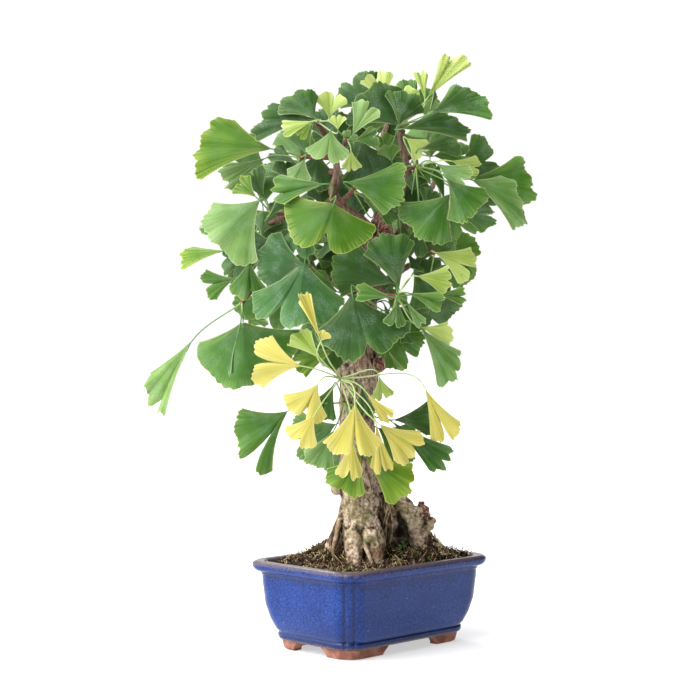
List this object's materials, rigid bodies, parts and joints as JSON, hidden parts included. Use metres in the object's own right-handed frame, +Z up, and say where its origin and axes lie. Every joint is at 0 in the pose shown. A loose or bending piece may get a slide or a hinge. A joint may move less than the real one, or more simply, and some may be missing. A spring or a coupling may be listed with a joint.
{
  "type": "potted ginkgo bonsai",
  "caption": "Informal upright ginkgo bonsai with fan leaves, a low cluster turned yellow and a rooty base, in a rectangular blue glazed pot on unglazed feet.",
  "frame": {"origin": "on the table, under the middle of the whole plant's bounding box", "axes": "+Z up, +X along the pot's long sides, -Y out of the long side that is nearer in the front view over the pot's corner"},
  "size_m": [0.2882, 0.2988, 0.5111],
  "materials": {
    "glaze": "gloss",
    "net": "matte",
    "soil": "matte",
    "bark": "matte",
    "leaf_green": "satin",
    "leaf_deep": "satin",
    "leaf_light": "satin",
    "leaf_yellow": "satin"
  },
  "bodies": {
    "root": {"pot": "glaze", "drain_mesh_left": "net", "drain_mesh_right": "net", "soil": "soil", "trunk": "bark", "leaves_left_crown": "leaf_green", "leaves_left_top": "leaf_deep", "leaves_middle_top": "leaf_light", "leaves_top": "leaf_deep", "leaves_right_crown": "leaf_green", "leaves_centre": "leaf_green", "leaves_centre_right": "leaf_green", "leaves_left_shoulder": "leaf_light", "leaves_left_side": "leaf_light", "leaves_left_hanging": "leaf_light", "leaves_centre_left": "leaf_light", "leaves_centre_low": "leaf_green", "leaves_right_low": "leaf_green", "leaves_right_side": "leaf_light", "leaves_yellow": "leaf_yellow", "leaves_lower": "leaf_green", "leaves_back_top": "leaf_green", "leaves_back_left_high": "leaf_green", "leaves_back_right_high": "leaf_deep", "leaves_back_left_low": "leaf_deep", "leaves_back_right_low": "leaf_green", "leaves_back_low": "leaf_deep", "leaves_inner_left_high": "leaf_green", "leaves_inner_right_high": "leaf_green", "leaves_inner_low": "leaf_green", "leaves_inner_left": "leaf_green", "leaves_inner_right": "leaf_green", "leaves_low_back": "leaf_green", "leaves_flank_left": "leaf_green", "leaves_flank_right": "leaf_deep"}
  },
  "joints": []
}
